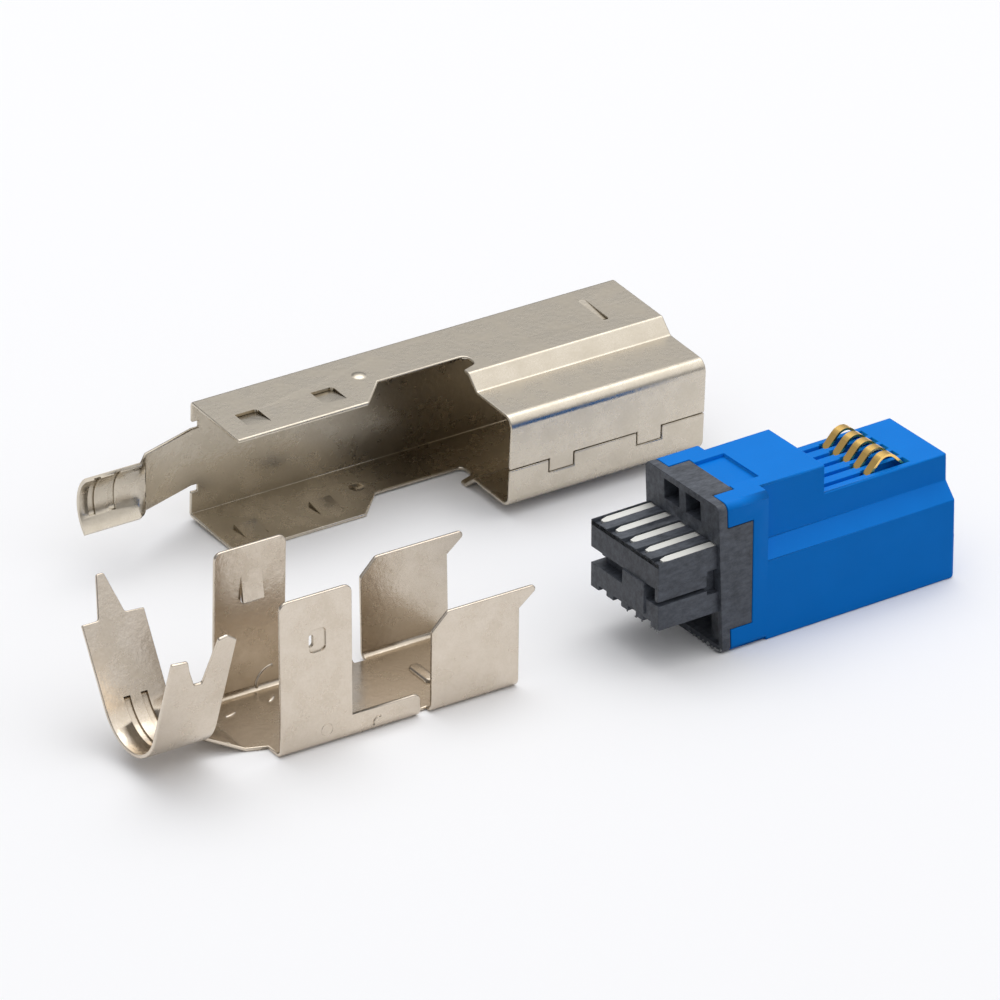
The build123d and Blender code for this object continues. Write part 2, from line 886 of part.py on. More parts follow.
def lower_strip(index, gap=0.0):
    """The strip of one contact of the mating slot, counted from the near side."""
    level, bow = lower_rows[index]
    place = index - (len(lower_rows) - 1) / 2
    front_y = lower_front_y if place > 0 else -lower_front_y
    outline = strip_outline(place * tail_spacing, front_y, lower_tip)
    return ribbon(lower_path(level, bow), lower_bend_radius, outline, gap)


contact_channels = [upper_strip(i, channel_gap) for i in range(upper_count)]
contact_channels += [lower_strip(i, channel_gap) for i in range(len(lower_rows))]

with BuildPart() as insulator_housing:
    extrude(housing_outline(skirt_end, housing_top), amount=block_end - skirt_end)
    extrude(housing_outline(block_end, contact_deck), amount=insulator_length - block_end)
    upright = insulator_housing.edges().filter_by(Axis.Z)
    fillet(upright.group_by(Axis(insulator_frame.origin, insulator_frame.x_dir))[-1], front_radius)
    with BuildSketch(along(insulator_frame)):
        with BuildLine():
            Polyline(
                (insulator_length, 0),
                (insulator_length - nose_lean, contact_deck),
                (insulator_length, contact_deck),
                close=True,
            )
        make_face()
    extrude(amount=plug_width, both=True, mode=Mode.SUBTRACT)

    # The skirt, with its four ears beside the terminal block's lugs
    with BuildSketch(across(insulator_frame)) as skirt:
        with Locations((0, housing_top / 2)):
            RectangleRounded(2 * skirt_half_width, housing_top, skirt_radius)
    extrude(amount=skirt_end)
    add(leaning_slab(-flange_plate, flange_plate), mode=Mode.SUBTRACT)
    with BuildSketch(across(insulator_frame)):
        with Locations((0, side_lug_low)):
            side_lug_size = side_lug_high - side_lug_low
            Rectangle(plug_width, side_lug_size, align=(Align.CENTER, Align.MIN))
    extrude(amount=side_lug_depth, mode=Mode.SUBTRACT)
    with BuildSketch(across(insulator_frame)):
        Rectangle(2 * end_lug_half_width, plug_height, align=(Align.CENTER, Align.MIN))
    extrude(amount=end_lug_depth, mode=Mode.SUBTRACT)

    # The hollow for the terminal block's stem, narrower above the shoulders
    extrude(stem_section(stem_hollow_top), amount=stem_length, mode=Mode.SUBTRACT)

    # The slot that takes the socket's tongue
    with BuildSketch(across(insulator_frame, tongue_slot_end)):
        with Locations((0, tongue_slot_floor)):
            Rectangle(
                2 * tongue_slot_half_width,
                tongue_slot_height,
                align=(Align.CENTER, Align.MIN),
            )
    extrude(amount=insulator_length - tongue_slot_end, mode=Mode.SUBTRACT)

    # Grooves and slots in the contact deck, and the shallow recess in the top
    for start, end, width, depth in (
        (block_end, deck_slot_start, deck_groove_width, deck_groove_depth),
        (deck_slot_start, deck_slot_end, deck_slot_width, deck_slot_depth),
    ):
        with BuildSketch(insulator_frame.offset(contact_deck)):
            with Locations((start, 0)):
                with GridLocations(1, spring_spacing, 1, upper_count):
                    Rectangle(end - start, width, align=(Align.MIN, Align.CENTER))
        extrude(amount=-depth, mode=Mode.SUBTRACT)
    with BuildSketch(insulator_frame.offset(housing_top)):
        with Locations((end_lug_depth, 0)):
            Rectangle(
                top_recess_length, 2 * top_recess_half_width, align=(Align.MIN, Align.CENTER)
            )
    extrude(amount=-top_recess_depth, mode=Mode.SUBTRACT)
    for channel in contact_channels:
        add(channel, mode=Mode.SUBTRACT)

insulator_housing.part.label = "insulator_housing"
export_step(insulator_housing.part, "parts/insulator_housing.step")

with BuildPart() as terminal_block:
    # The two tongues behind the flange and the web between them
    for low, high in (
        (upper_tongue_floor, tongue_top),
        (lower_tongue_floor, lower_tongue_top),
    ):
        with BuildSketch(across(insulator_frame)):
            with Locations((0, low)):
                Rectangle(2 * tongue_half_width, high - low, align=(Align.CENTER, Align.MIN))
        extrude(amount=-tongue_length)
    with BuildSketch(across(insulator_frame)):
        with Locations((0, lower_tongue_floor)):
            web_height = upper_tongue_floor - lower_tongue_floor
            Rectangle(2 * web_half_width, web_height, align=(Align.CENTER, Align.MIN))
    extrude(amount=-web_end)

    # A thin pillar closes the web's near end, and a boss stands out in its middle
    for near, far, low, reach in (
        (-web_half_width, web_pillar - web_half_width, lower_tongue_top, 0),
        (boss_near, boss_far, boss_low, boss_reach),
    ):
        with BuildSketch(across(insulator_frame)):
            with Locations((near, low)):
                Rectangle(far - near, upper_tongue_floor - low, align=(Align.MIN, Align.MIN))
        extrude(amount=-tongue_length - reach)

    # A slit along each side above the lower tongue, and a notch at its root
    for start, end, low, high in (
        (-tongue_length, 0, lower_tongue_top, web_slit_top),
        (-flange_lean - root_notch_length, 0, root_notch_low, root_notch_high),
    ):
        with BuildSketch(insulator_frame.offset(low)):
            for side in (-1, 1):
                with Locations((start, side * half_width)):
                    inset = half_width - web_half_width + web_slit_depth
                    Rectangle(end - start, 2 * inset, align=(Align.MIN, Align.CENTER))
        extrude(amount=high - low, mode=Mode.SUBTRACT)

    # Flange plate, the lugs between the housing's ears, and the stem in its hollow
    with BuildPart(mode=Mode.PRIVATE) as flange:
        with BuildSketch(across(insulator_frame, -flange_lean)):
            with Locations((0, housing_top / 2)):
                RectangleRounded(2 * skirt_half_width, housing_top, skirt_radius)
        extrude(amount=flange_lean + flange_plate)
        add(leaning_slab(0, flange_plate - seat_gap), mode=Mode.INTERSECT)
    add(flange.part)
    with BuildSketch(across(insulator_frame)):
        with Locations((0, side_lug_low + seat_gap)):
            lug_height = side_lug_high - side_lug_low - 2 * seat_gap
            Rectangle(2 * skirt_half_width, lug_height, align=(Align.CENTER, Align.MIN))
    extrude(amount=side_lug_depth - seat_gap)
    with BuildSketch(across(insulator_frame)):
        with Locations((0, housing_top / 2)):
            RectangleRounded(2 * (end_lug_half_width - seat_gap), housing_top, edge_radius)
    extrude(amount=end_lug_depth - seat_gap)
    extrude(stem_section(stem_top, seat_gap), amount=stem_length - seat_gap)

    # Grooves for the tails, above and underneath
    groove_depth = tail_sink + contact_thickness + channel_gap
    for level, count, depth in (
        (tongue_top, upper_count, -groove_depth),
        (lower_tongue_floor, len(lower_rows), groove_depth),
    ):
        with BuildSketch(insulator_frame.offset(level)):
            with GridLocations(1, tail_spacing, 1, count):
                Rectangle(
                    tongue_length, tail_width + 2 * channel_gap, align=(Align.MAX, Align.CENTER)
                )
        extrude(amount=depth, mode=Mode.SUBTRACT)

    # Two square core holes above, one wide opening with a deeper middle below
    rear = across(insulator_frame, -flange_lean)
    with BuildSketch(rear):
        with Locations((0, core_hole_low)):
            with GridLocations(core_hole + core_hole_gap, 1, 2, 1):
                Rectangle(
                    core_hole,
                    housing_top - core_hole_wall - core_hole_low,
                    align=(Align.CENTER, Align.MIN),
                )
    extrude(amount=flange_lean + side_lug_depth, mode=Mode.SUBTRACT)
    for half, depth in (
        (lower_opening_half_width, lower_opening_depth),
        (lower_core_half_width, lower_core_depth),
    ):
        with BuildSketch(rear):
            with Locations((0, lower_opening_low)):
                Rectangle(
                    2 * half,
                    lower_tongue_floor - lower_opening_low,
                    align=(Align.CENTER, Align.MIN),
                )
        extrude(amount=flange_lean + depth, mode=Mode.SUBTRACT)
    for channel in contact_channels:
        add(channel, mode=Mode.SUBTRACT)

terminal_block.part.label = "terminal_block"
export_step(terminal_block.part, "parts/terminal_block.step")

for index in range(upper_count):
    with BuildPart() as contact:
        add(upper_strip(index))
    contact.part.label = f"upper_contact_{index + 1}"
    export_step(contact.part, f"parts/{contact.part.label}.step")

for index in range(len(lower_rows)):
    with BuildPart() as contact:
        add(lower_strip(index))
    contact.part.label = f"lower_contact_{index + 1}"
    export_step(contact.part, f"parts/{contact.part.label}.step")
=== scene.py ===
# %% [markdown]
# # A nine-contact square plug, laid out as a kit
# The shapes come from the CAD frame. This lesson gives each piece the finish of the real one:
# plated steel, moulded plastic, gold and tin.

from math import cos, radians, sin

import bmesh
import bpy
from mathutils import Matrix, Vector


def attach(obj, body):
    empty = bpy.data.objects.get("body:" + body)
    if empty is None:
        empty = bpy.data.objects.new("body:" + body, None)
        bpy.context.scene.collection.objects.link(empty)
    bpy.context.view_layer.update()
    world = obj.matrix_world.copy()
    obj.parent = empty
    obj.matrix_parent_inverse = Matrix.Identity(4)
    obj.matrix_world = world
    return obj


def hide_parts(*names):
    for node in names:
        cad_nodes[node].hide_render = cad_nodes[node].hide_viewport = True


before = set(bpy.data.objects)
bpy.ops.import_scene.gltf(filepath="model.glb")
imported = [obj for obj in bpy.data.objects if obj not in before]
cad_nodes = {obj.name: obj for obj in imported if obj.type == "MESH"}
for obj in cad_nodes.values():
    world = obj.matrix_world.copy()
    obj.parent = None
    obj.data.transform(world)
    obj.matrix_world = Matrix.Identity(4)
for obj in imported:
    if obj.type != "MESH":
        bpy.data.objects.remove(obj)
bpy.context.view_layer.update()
MM = 0.001
print("CAD nodes:", len(cad_nodes))


# %% [markdown]
# ## Colours and nodes
# A colour is picked on a screen as an sRGB hex value, but a shader works in linear light, so one
# function turns one into the other. Another small function adds a node, sets its values and links
# it, which keeps each material short enough to read. A Mix node of colours keeps its two colours in
# its sockets 6 and 7, and gives the mixed one from its output 2.


# %% Helpers for colours and nodes
def linear(hex_colour):
    """An sRGB hex colour as the linear RGBA that a shader wants."""
    channels = [int(hex_colour[i : i + 2], 16) / 255 for i in (1, 3, 5)]
    light = [c / 12.92 if c <= 0.04045 else ((c + 0.055) / 1.055) ** 2.4 for c in channels]
    return (*light, 1.0)


def add_node(tree, kind, settings=(), links=()):
    """Adds a node. A setting's name is a socket, given by name or number, or a property."""
    node = tree.nodes.new(kind)
    for name, value in dict(settings).items():
        if isinstance(name, int) or name in node.inputs:
            node.inputs[name].default_value = value
        else:
            setattr(node, name, value)
    for socket, source in dict(links).items():
        tree.links.new(source, node.inputs[socket])
    return node


def new_material(name):
    """An empty material, and the tree that its nodes go into."""
    material = bpy.data.materials.new(name)
    material.use_nodes = True
    material.node_tree.nodes.clear()
    return material, material.node_tree


FIRST_COLOUR, SECOND_COLOUR, MIXED_COLOUR = 6, 7, 2
print("white is", linear("#FFFFFF"))


# %% [markdown]
# ## Camera
# The photograph is a close product shot with a long lens, from the side of the cable end and about
# 28 degrees above the table. A long lens far away keeps the edges nearly parallel, as they are
# there.

# %% Camera
CAMERA_TURN = radians(33.11)
CAMERA_HEIGHT = radians(27.73)
CAMERA_DISTANCE = 528.44 * MM
NEAR_CLIP = 0.05
SENSOR_WIDTH = 36.0
FRAME_WIDTH, LENS_IN_PIXELS = 1000.0, 8693.7
look_at = Vector((9.3125, 7.7334, 0.0)) * MM
towards_camera = Vector(
    (
        -cos(CAMERA_HEIGHT) * sin(CAMERA_TURN),
        -cos(CAMERA_HEIGHT) * cos(CAMERA_TURN),
        sin(CAMERA_HEIGHT),
    )
)
bpy.ops.object.select_all(action="DESELECT")
bpy.ops.object.camera_add(location=look_at + towards_camera * CAMERA_DISTANCE)
camera = bpy.context.object
camera.name = "product_camera"
camera.rotation_euler = towards_camera.to_track_quat("Z", "Y").to_euler()
camera.data.sensor_width = SENSOR_WIDTH
camera.data.lens = LENS_IN_PIXELS * SENSOR_WIDTH / FRAME_WIDTH
camera.data.clip_start = NEAR_CLIP
bpy.context.scene.camera = camera
print("lens", round(camera.data.lens, 1), "mm")


# %% [markdown]
# ## Table and light
# The table is a sheet of white card, much wider than the view. The light is that of a shooting
# tent: a dome that is bright overhead and grey near the table, so that a face of the metal that
# mirrors the top of the tent shines and one that mirrors its side stays grey. One soft lamp above
# gives the shadows their side. To the camera and in the metal the card is white, but it throws
# less light back up, as a card that is mostly out of the lamp's beam does.

# %% White table
TABLE_WIDTH = 6.0
bpy.ops.object.select_all(action="DESELECT")
bpy.ops.mesh.primitive_plane_add(size=TABLE_WIDTH, location=(0, 0, 0))
table = bpy.context.object
table.name = "table"
white_card, tree = new_material("white_card")
ray = add_node(tree, "ShaderNodeLightPath")
seen = add_node(
    tree,
    "ShaderNodeMath",
    {"operation": "MAXIMUM"},
    {0: ray.outputs["Is Camera Ray"], 1: ray.outputs["Is Glossy Ray"]},
)
card_tone = add_node(
    tree,
    "ShaderNodeMix",
    {"data_type": "RGBA", FIRST_COLOUR: linear("#9FA0A2"), SECOND_COLOUR: linear("#F9F9FA")},
    {"Factor": seen.outputs["Value"]},
)
card = add_node(
    tree,
    "ShaderNodeBsdfPrincipled",
    {"Roughness": 0.9, "Specular IOR Level": 0.1},
    {"Base Color": card_tone.outputs[MIXED_COLOUR]},
)
add_node(tree, "ShaderNodeOutputMaterial", links={"Surface": card.outputs["BSDF"]})
table.data.materials.append(white_card)
print("table", TABLE_WIDTH, "m wide")

# %% Dome of light
TENT_TOP = (0.30, -0.12, 0.95)
TENT_STRENGTH = 1.37
SIDE_OF_TENT, TOP_OF_TENT = (0.10, "#747578"), (1.00, "#FFFFFF")
world = bpy.data.worlds.new("studio_dome")
bpy.context.scene.world = world
world.use_nodes = True
tree = world.node_tree
tree.nodes.clear()
direction = add_node(tree, "ShaderNodeTexCoord")
nearness = add_node(
    tree,
    "ShaderNodeVectorMath",
    {"operation": "DOT_PRODUCT", 1: TENT_TOP},
    {0: direction.outputs["Generated"]},
)
dome = add_node(tree, "ShaderNodeValToRGB", links={"Fac": nearness.outputs["Value"]})
tones = dome.color_ramp.elements
for tone, (position, colour) in zip(tones, (SIDE_OF_TENT, TOP_OF_TENT)):
    tone.position, tone.color = position, linear(colour)
for position, colour in ((0.52, "#A2A3A5"), (0.70, "#DCDCDE")):
    tones.new(position).color = linear(colour)
background = add_node(
    tree,
    "ShaderNodeBackground",
    {"Strength": TENT_STRENGTH},
    {"Color": dome.outputs["Color"]},
)
add_node(tree, "ShaderNodeOutputWorld", links={"Surface": background.outputs["Background"]})
print("dome", [round(tone.position, 2) for tone in tones])

# %% Soft lamp
LAMP_PLACE = (0.08, 0.12, 0.45)
LAMP_SIZE = (0.42, 0.30)
LAMP_POWER = 0.5
bpy.ops.object.light_add(type="AREA", location=LAMP_PLACE)
lamp = bpy.context.object
lamp.name = "soft_lamp"
lamp.data.shape = "RECTANGLE"
lamp.data.size, lamp.data.size_y = LAMP_SIZE
lamp.data.energy = LAMP_POWER
lamp.rotation_euler = (lamp.location - look_at).to_track_quat("Z", "Y").to_euler()
print("lamp", lamp.data.energy, "W")


# %% [markdown]
# ## Nickel-plated steel
# The shell and the cover are cold-rolled steel strip, stamped, folded and then plated with nickel.
# The plating is a warm grey metal. The strip's rolled skin stays under it as an orange peel, drawn
# 0.35 mm across, coarser than the real one so that it shows. It softens what the metal mirrors.
# Handling leaves faint duller patches. Deep corners and recesses get painted shade: the Ambient
# Occlusion node says how open each place is, and the colour darkens towards a shade tint there.


# %% Nickel-plated steel
PATCH, GRAIN, PEEL = 1.6 * MM, 0.12 * MM, 0.35 * MM
# How far from the walls around it the painted corner shade reaches.
CORNER_REACH = 6.0 * MM
PEEL_DEPTH = 0.05 * MM


def nickel_plate(name, tint, dull_tint, corner_shade_tint, roughness):
    """Satin nickel on rolled strip: its tint, that of duller patches, and the painted shade of deep
    corners.
    """
    material, tree = new_material(name)
    place = add_node(tree, "ShaderNodeTexCoord")
    patches = add_node(
        tree,
        "ShaderNodeTexNoise",
        {"Scale": 1 / PATCH, "Detail": 4.0, "Roughness": 0.65},
        {"Vector": place.outputs["Object"]},
    )
    grain = add_node(
        tree,
        "ShaderNodeTexNoise",
        {"Scale": 1 / GRAIN, "Detail": 1.0},
        {"Vector": place.outputs["Object"]},
    )
    peel = add_node(
        tree,
        "ShaderNodeTexNoise",
        {"Scale": 1 / PEEL, "Detail": 2.0},
        {"Vector": place.outputs["Object"]},
    )
    mottle = add_node(
        tree,
        "ShaderNodeMath",
        {"operation": "MULTIPLY_ADD", 1: 0.6},
        {0: grain.outputs["Fac"], 2: patches.outputs["Fac"]},
    )
    dullness = add_node(
        tree,
        "ShaderNodeMapRange",
        {"From Min": 0.45, "From Max": 1.25},
        {"Value": mottle.outputs["Value"]},
    )
    tone = add_node(
        tree,
        "ShaderNodeMix",
        {"data_type": "RGBA", FIRST_COLOUR: linear(tint), SECOND_COLOUR: linear(dull_tint)},
        {"Factor": dullness.outputs["Result"]},
    )
    # Painted shade: where the Ambient Occlusion node finds a place closed in, the colour is
    # darkened towards the corner tint.
    openness = add_node(
        tree, "ShaderNodeAmbientOcclusion", {"Distance": CORNER_REACH, "only_local": True}
    )
    corner_shade_amount = add_node(
        tree,
        "ShaderNodeMapRange",
        {"From Min": 0.1, "From Max": 0.95},
        {"Value": openness.outputs["AO"]},
    )
    tone_with_corner_shade = add_node(
        tree,
        "ShaderNodeMix",
        {"data_type": "RGBA", FIRST_COLOUR: linear(corner_shade_tint)},
        {"Factor": corner_shade_amount.outputs["Result"], SECOND_COLOUR: tone.outputs[MIXED_COLOUR]},
    )
    gloss = add_node(
        tree,
        "ShaderNodeMapRange",
        {"From Min": 0.3, "From Max": 0.7, "To Min": roughness - 0.05, "To Max": roughness + 0.07},
        {"Value": patches.outputs["Fac"]},
    )
    relief = add_node(
        tree,
        "ShaderNodeMath",
        {"operation": "MULTIPLY_ADD", 1: 0.25},
        {0: grain.outputs["Fac"], 2: peel.outputs["Fac"]},
    )
    skin = add_node(
        tree,
        "ShaderNodeBump",
        {"Strength": 0.2, "Distance": PEEL_DEPTH},
        {"Height": relief.outputs["Value"]},
    )
    metal = add_node(
        tree,
        "ShaderNodeBsdfPrincipled",
        {"Metallic": 1.0},
        {
            "Base Color": tone_with_corner_shade.outputs[MIXED_COLOUR],
            "Roughness": gloss.outputs["Result"],
            "Normal": skin.outputs["Normal"],
        },
    )
    add_node(tree, "ShaderNodeOutputMaterial", links={"Surface": metal.outputs["BSDF"]})
    print(name, len(tree.nodes), "nodes")
    return material


# The third colour of each is the painted shade of deep corners.
shell_nickel = nickel_plate("nickel_plated_shell", "#D6CDBE", "#C6BCAA", "#80745E", 0.27)
cover_nickel = nickel_plate("nickel_plated_cover", "#DED3C5", "#CCBFAC", "#92826A", 0.24)


# %% [markdown]
# ## Moulded plastics
# The housing is PBT, a slightly glossy blue moulding, a little paler and darker where the melt
# flowed. The terminal block is the same plastic with glass fibre and carbon black in it: the fibres
# leave a mottled grey skin, streaked along the block.


# %% Blue PBT
MOULD_SKIN, MELT_FLOW = 0.12 * MM, 2.5 * MM
blue_pbt, tree = new_material("moulded_blue_pbt")
place = add_node(tree, "ShaderNodeTexCoord")
texture_skin = add_node(
    tree,
    "ShaderNodeTexNoise",
    {"Scale": 1 / MOULD_SKIN, "Detail": 2.0},
    {"Vector": place.outputs["Object"]},
)
skin = add_node(
    tree,
    "ShaderNodeBump",
    {"Strength": 0.2, "Distance": 0.01 * MM},
    {"Height": texture_skin.outputs["Fac"]},
)
flow = add_node(
    tree,
    "ShaderNodeTexNoise",
    {"Scale": 1 / MELT_FLOW, "Detail": 3.0},
    {"Vector": place.outputs["Object"]},
)
tone = add_node(
    tree,
    "ShaderNodeMix",
    {"data_type": "RGBA", FIRST_COLOUR: linear("#0880E2"), SECOND_COLOUR: linear("#0478D6")},
    {"Factor": flow.outputs["Fac"]},
)
plastic = add_node(
    tree,
    "ShaderNodeBsdfPrincipled",
    {"Roughness": 0.42, "IOR": 1.5, "Specular IOR Level": 0.08},
    {"Base Color": tone.outputs[MIXED_COLOUR], "Normal": skin.outputs["Normal"]},
)
add_node(tree, "ShaderNodeOutputMaterial", links={"Surface": plastic.outputs["BSDF"]})
print(blue_pbt.name, len(tree.nodes), "nodes")

# %% Charcoal PBT with glass fibre
FIBRE_CLUMP = 0.35 * MM
FIBRE_STRETCH = (0.45, 1.0, 0.8)
charcoal_pbt, tree = new_material("glass_filled_charcoal_pbt")
place = add_node(tree, "ShaderNodeTexCoord")
fibres = add_node(
    tree, "ShaderNodeMapping", {"Scale": FIBRE_STRETCH}, {"Vector": place.outputs["Object"]}
)
mottle = add_node(
    tree,
    "ShaderNodeTexNoise",
    {"Scale": 1 / FIBRE_CLUMP, "Detail": 5.0, "Roughness": 0.75},
    {"Vector": fibres.outputs["Vector"]},
)
streaks = add_node(
    tree, "ShaderNodeMapRange", {"From Min": 0.3, "From Max": 0.7}, {"Value": mottle.outputs["Fac"]}
)
shade = add_node(
    tree,
    "ShaderNodeMix",
    {"data_type": "RGBA", FIRST_COLOUR: linear("#2A2E35"), SECOND_COLOUR: linear("#5E636C")},
    {"Factor": streaks.outputs["Result"]},
)
skin = add_node(
    tree,
    "ShaderNodeBump",
    {"Strength": 0.5, "Distance": 0.04 * MM},
    {"Height": mottle.outputs["Fac"]},
)
plastic = add_node(
    tree,
    "ShaderNodeBsdfPrincipled",
    {"Roughness": 0.5, "IOR": 1.5},
    {"Base Color": shade.outputs[MIXED_COLOUR], "Normal": skin.outputs["Normal"]},
)
add_node(tree, "ShaderNodeOutputMaterial", links={"Surface": plastic.outputs["BSDF"]})
print(charcoal_pbt.name, len(tree.nodes), "nodes")


# %% [markdown]
# ## Contacts
# Each contact is phosphor bronze strip. Its spring is gold plated, and its tail is tinned for
# soldering, so the finish changes along the strip, inside the block where nobody sees it. Dull tin
# is drawn as less than fully metallic, because it scatters more light than it mirrors.

# %% Gold springs and tinned tails
TIN_ENDS, GOLD_STARTS = 11.0 * MM, 12.0 * MM
contact_plate, tree = new_material("gold_and_tin_plate")
place = add_node(tree, "ShaderNodeTexCoord")
along = add_node(tree, "ShaderNodeSeparateXYZ", links={0: place.outputs["Object"]})
is_spring = add_node(
    tree,
    "ShaderNodeMapRange",
    {"From Min": TIN_ENDS, "From Max": GOLD_STARTS},
    {"Value": along.outputs["X"]},
)
plate = add_node(
    tree,
    "ShaderNodeMix",
    {"data_type": "RGBA", FIRST_COLOUR: linear("#F1F0EA"), SECOND_COLOUR: linear("#FFD27C")},
    {"Factor": is_spring.outputs["Result"]},
)
shine = add_node(
    tree,
    "ShaderNodeMapRange",
    {"To Min": 0.5, "To Max": 0.22},
    {"Value": is_spring.outputs["Result"]},
)
bare = add_node(
    tree,
    "ShaderNodeMapRange",
    {"To Min": 0.45, "To Max": 1.0},
    {"Value": is_spring.outputs["Result"]},
)
metal = add_node(
    tree,
    "ShaderNodeBsdfPrincipled",
    links={
        "Base Color": plate.outputs[MIXED_COLOUR],
        "Roughness": shine.outputs["Result"],
        "Metallic": bare.outputs["Result"],
    },
)
add_node(tree, "ShaderNodeOutputMaterial", links={"Surface": metal.outputs["BSDF"]})
print(contact_plate.name, len(tree.nodes), "nodes")

# %% [markdown]
# ## Soft edges
# No stamped or moulded edge is knife sharp. The press rolls the sheet's cut edge over by 0.08 to
# 0.09 mm, and a mould leaves a finer round of 0.04 mm, and that narrow band is what catches the
# light in the photograph. So each large piece is a merged copy of its CAD node with a small bevel,
# which then stands for the node. Only corners that stick out get it, because an inner corner is
# where two walls meet. Small pressed features, such as the lances and grip slots, are sheared sharp
# and keep their edges, and so does the front of the housing's skirt: boxes around them say where.
# The bevel's faces would tilt the shading of the flat faces beside them, so the normals are then
# weighted by area.

# %% Rounded copies of the large pieces
MERGE_WITHIN = 0.0005 * MM
FLAT_WITHIN = radians(0.6)
CORNER_FROM = radians(40)


def inside_any(place, boxes):
    """Whether a place is in one of these boxes, each given by its low and its high corner."""
    return any(all(l < p < h for l, p, h in zip(low, place, high)) for low, high in boxes)


def soften_edges(node_name, piece_name, width, finish, kept_sharp=()):
    """A merged copy of a CAD node with its outer edges rounded by this width in mm."""
    bpy.ops.object.select_all(action="DESELECT")
    node = cad_nodes[node_name]
    node.select_set(True)
    bpy.context.view_layer.objects.active = node
    bpy.ops.object.duplicate()
    piece = bpy.context.object
    piece.name = piece_name
    bpy.ops.object.mode_set(mode="EDIT")
    bpy.ops.mesh.select_all(action="SELECT")
    bpy.ops.mesh.remove_doubles(threshold=MERGE_WITHIN)
    bpy.ops.mesh.dissolve_limited(angle_limit=FLAT_WITHIN)
    skin = bmesh.from_edit_mesh(piece.data)
    rounded = skin.edges.layers.float.new("bevel_weight_edge")
    for edge in skin.edges:
        if edge.is_manifold and edge.calc_face_angle_signed() > CORNER_FROM:
            middle = (edge.verts[0].co + edge.verts[1].co) / 2 / MM
            if not inside_any(middle, kept_sharp):
                edge[rounded] = 1.0
    bmesh.update_edit_mesh(piece.data)
    bpy.ops.object.mode_set(mode="OBJECT")
    rounding = piece.modifiers.new("rolled_edge", "BEVEL")
    rounding.width = width * MM
    rounding.segments = 2
    rounding.limit_method = "WEIGHT"
    rounding.use_clamp_overlap = False
    bpy.ops.object.modifier_apply(modifier=rounding.name)
    bpy.ops.object.shade_smooth_by_angle(angle=CORNER_FROM)
    flatness = piece.modifiers.new("flat_faces", "WEIGHTED_NORMAL")
    flatness.keep_sharp = True
    bpy.ops.object.modifier_apply(modifier=flatness.name)
    piece.data.materials.clear()
    piece.data.materials.append(finish)
    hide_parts(node_name)
    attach(piece, "root")
    print(piece_name, len(piece.data.polygons), "faces")


# %% The four large pieces, with boxes in mm around what stays sharp
UNDER, OVER = -1, 11
lances = [((-6.7, 11.2, UNDER), (-4.7, 13.3, OVER)), ((-1.4, 11.2, UNDER), (0.7, 13.3, OVER))]
detents = [((18.6, 11.2, UNDER), (20.2, 14.9, OVER))]
strap_ribs = [((-16.6, 0, UNDER), (-14.3, 20, OVER))]
soften_edges("front_shell", "folded_shell", 0.09, shell_nickel, lances + detents + strap_ribs)
catches = [((-17.4, -14, 6.0), (-15.1, -2, 8.4))]
grip_slots = [((-25.6, -14, UNDER), (-23.4, -2, 3.3))]
soften_edges("crimp_cover", "folded_cover", 0.08, cover_nickel, catches + grip_slots)
skirt_front = [((12.3, -20, 0.3), (13.1, 0, OVER))]
soften_edges("insulator_housing", "blue_housing", 0.04, blue_pbt, skirt_front)
soften_edges("terminal_block", "charcoal_block", 0.04, charcoal_pbt)

# %% [markdown]
# ## Press marks on the cover
# Folding leaves small creases and dents where the punch held the sheet: a hooked crease at the
# foot of the far tab, two dents in the floor and two faint marks on the near low wall. A crease is
# an arc of a thin ring, a dent's rim a flattened ball, each sunk halfway into the face.


# %% Places on a group that lies turned on the table
COVER_AT, COVER_TURN = Vector((-18.758, -8.434, 0.0)), radians(-0.59)
BLOCK_AT, BLOCK_TURN = Vector((9.474, -12.100, 0.0)), radians(1.284)


def on_group(group_at, group_turn, x, y, z):
    """A place in a group's own mm as a place in the scene."""
    turned = (x * cos(group_turn) - y * sin(group_turn), x * sin(group_turn) + y * cos(group_turn))
    return (group_at + Vector((*turned, z))) * MM


def on_cover(x, y, z):
    """A place in the cover's own mm as a place in the scene."""
    return on_group(COVER_AT, COVER_TURN, x, y, z)


print("cover lies at", tuple(on_cover(0, 0, 0)))


# %% Creases
def crease(name, middle, radius, thickness, cuts=()):
    """An arc of a ring on an upright wall. Each cut is a place and the way that is taken off."""
    bpy.ops.object.select_all(action="DESELECT")
    bpy.ops.mesh.primitive_torus_add(
        location=middle,
        rotation=(radians(90), 0, COVER_TURN),
        major_radius=radius * MM,
        minor_radius=thickness / 2 * MM,
        major_segments=64,
        minor_segments=10,
    )
    piece = bpy.context.object
    piece.name = name
    bpy.ops.object.transform_apply(location=True, rotation=True, scale=True)
    bpy.ops.object.mode_set(mode="EDIT")
    for place, outwards in cuts:
        bpy.ops.mesh.select_all(action="SELECT")
        bpy.ops.mesh.bisect(plane_co=place, plane_no=outwards, clear_outer=True, use_fill=True)
    bpy.ops.mesh.select_all(action="SELECT")
    bpy.ops.mesh.normals_make_consistent(inside=False)
    bpy.ops.object.mode_set(mode="OBJECT")
    bpy.ops.object.shade_smooth_by_angle(angle=radians(50))
    piece.data.materials.append(cover_nickel)
    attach(piece, "root")
    print(name, len(piece.data.polygons), "faces")


